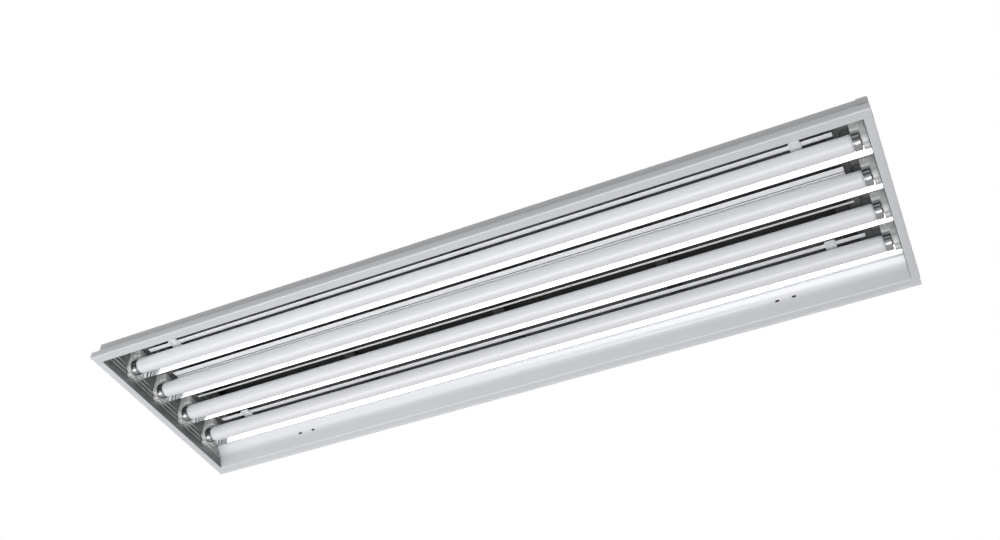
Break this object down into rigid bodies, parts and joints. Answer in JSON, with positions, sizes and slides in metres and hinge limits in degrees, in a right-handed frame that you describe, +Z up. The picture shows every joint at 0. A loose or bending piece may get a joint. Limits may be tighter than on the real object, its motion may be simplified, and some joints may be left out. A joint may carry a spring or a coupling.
{
  "type": "linear high bay light",
  "caption": "Long shallow steel ceiling light with tubular fluorescent lamps in a ribbed specular reflector tray, framed by a flat painted rim with an upturned lip.",
  "frame": {"origin": "centre of the plane that the bottom of the rim lies on", "axes": "+X along the lamps, +Y across them towards the far rail, +Z up towards the ceiling"},
  "size_m": [1.245, 0.3656, 0.094],
  "materials": {
    "housing_paint": "light grey baked enamel, satin",
    "zinc_steel": "zinc coated steel, dull",
    "specular_aluminium": "specular aluminium sheet",
    "satin_aluminium": "semi-specular aluminium sheet",
    "plated_steel": "zinc plated",
    "ballast_paint": "white enamel",
    "white_plastic": "white moulded plastic",
    "button_plastic": "pale grey moulded plastic",
    "black_plastic": "black nylon",
    "black_sleeve": "black wire sleeve",
    "green_paint": "green plated",
    "lamp_glass": "clear glass with a white coating inside",
    "cap_aluminium": "bright pressed aluminium",
    "pin_brass": "brass"
  },
  "bodies": {
    "housing": {"top_pan": "housing_paint", "near_side_rail": "housing_paint", "far_side_rail": "housing_paint", "left_end_plate": "housing_paint", "right_end_plate": "housing_paint", "ballast_channel": "housing_paint", "left_ballast": "ballast_paint", "right_ballast": "ballast_paint", "ballast_studs": "plated_steel", "terminal_block": "white_plastic", "supply_bushing": "black_plastic", "supply_wiring": "black_sleeve", "ground_screw": "green_paint", "pan_screws": "plated_steel", "left_wiring": "black_sleeve", "right_wiring": "black_sleeve", "left_holder_rail": "zinc_steel", "right_holder_rail": "zinc_steel", "tray_bars": "zinc_steel", "ridge_hangers": "zinc_steel", "near_outer_reflector": "specular_aluminium", "far_outer_reflector": "specular_aluminium", "button_studs": "plated_steel", "ridge_reflector_1": "specular_aluminium", "ridge_reflector_2": "specular_aluminium", "ridge_reflector_3": "specular_aluminium", "lamp_strips_1": "satin_aluminium", "lamp_strips_2": "satin_aluminium", "lamp_strips_3": "satin_aluminium", "lamp_strips_4": "satin_aluminium", "left_lampholder_1": "white_plastic", "left_lampholder_2": "white_plastic", "left_lampholder_3": "white_plastic", "left_lampholder_4": "white_plastic", "right_lampholder_1": "white_plastic", "right_lampholder_2": "white_plastic", "right_lampholder_3": "white_plastic", "right_lampholder_4": "white_plastic"},
    "lamp_1": {"lamp_tube_1": "lamp_glass", "lamp_caps_1": "cap_aluminium", "lamp_pins_1": "pin_brass", "rotors_1": "white_plastic"},
    "lamp_2": {"lamp_tube_2": "lamp_glass", "lamp_caps_2": "cap_aluminium", "lamp_pins_2": "pin_brass", "rotors_2": "white_plastic"},
    "lamp_3": {"lamp_tube_3": "lamp_glass", "lamp_caps_3": "cap_aluminium", "lamp_pins_3": "pin_brass", "rotors_3": "white_plastic"},
    "lamp_4": {"lamp_tube_4": "lamp_glass", "lamp_caps_4": "cap_aluminium", "lamp_pins_4": "pin_brass", "rotors_4": "white_plastic"},
    "button_1": {"turn_button_1": "button_plastic"},
    "button_2": {"turn_button_2": "button_plastic"},
    "button_3": {"turn_button_3": "button_plastic"},
    "button_4": {"turn_button_4": "button_plastic"}
  },
  "joints": [
    {"name": "lamp_1_turn", "type": "hinge", "parent": "housing", "child": "lamp_1", "pos_m": [0, -0.105, 0.03], "axis": [1, 0, 0], "range_deg": [0, 90]},
    {"name": "lamp_2_turn", "type": "hinge", "parent": "housing", "child": "lamp_2", "pos_m": [0, -0.035, 0.03], "axis": [1, 0, 0], "range_deg": [0, 90]},
    {"name": "lamp_3_turn", "type": "hinge", "parent": "housing", "child": "lamp_3", "pos_m": [0, 0.035, 0.03], "axis": [1, 0, 0], "range_deg": [0, 90]},
    {"name": "lamp_4_turn", "type": "hinge", "parent": "housing", "child": "lamp_4", "pos_m": [0, 0.105, 0.03], "axis": [1, 0, 0], "range_deg": [0, 90]},
    {"name": "turn_button_1_swing", "type": "hinge", "parent": "housing", "child": "button_1", "pos_m": [-0.515, -0.105, 0.0454], "axis": [0, 0, 1], "range_deg": [0, 90]},
    {"name": "turn_button_2_swing", "type": "hinge", "parent": "housing", "child": "button_2", "pos_m": [0.515, -0.105, 0.0454], "axis": [0, 0, 1], "range_deg": [0, 90]},
    {"name": "turn_button_3_swing", "type": "hinge", "parent": "housing", "child": "button_3", "pos_m": [-0.515, 0.105, 0.0454], "axis": [0, 0, 1], "range_deg": [0, 90]},
    {"name": "turn_button_4_swing", "type": "hinge", "parent": "housing", "child": "button_4", "pos_m": [0.515, 0.105, 0.0454], "axis": [0, 0, 1], "range_deg": [0, 90]}
  ]
}
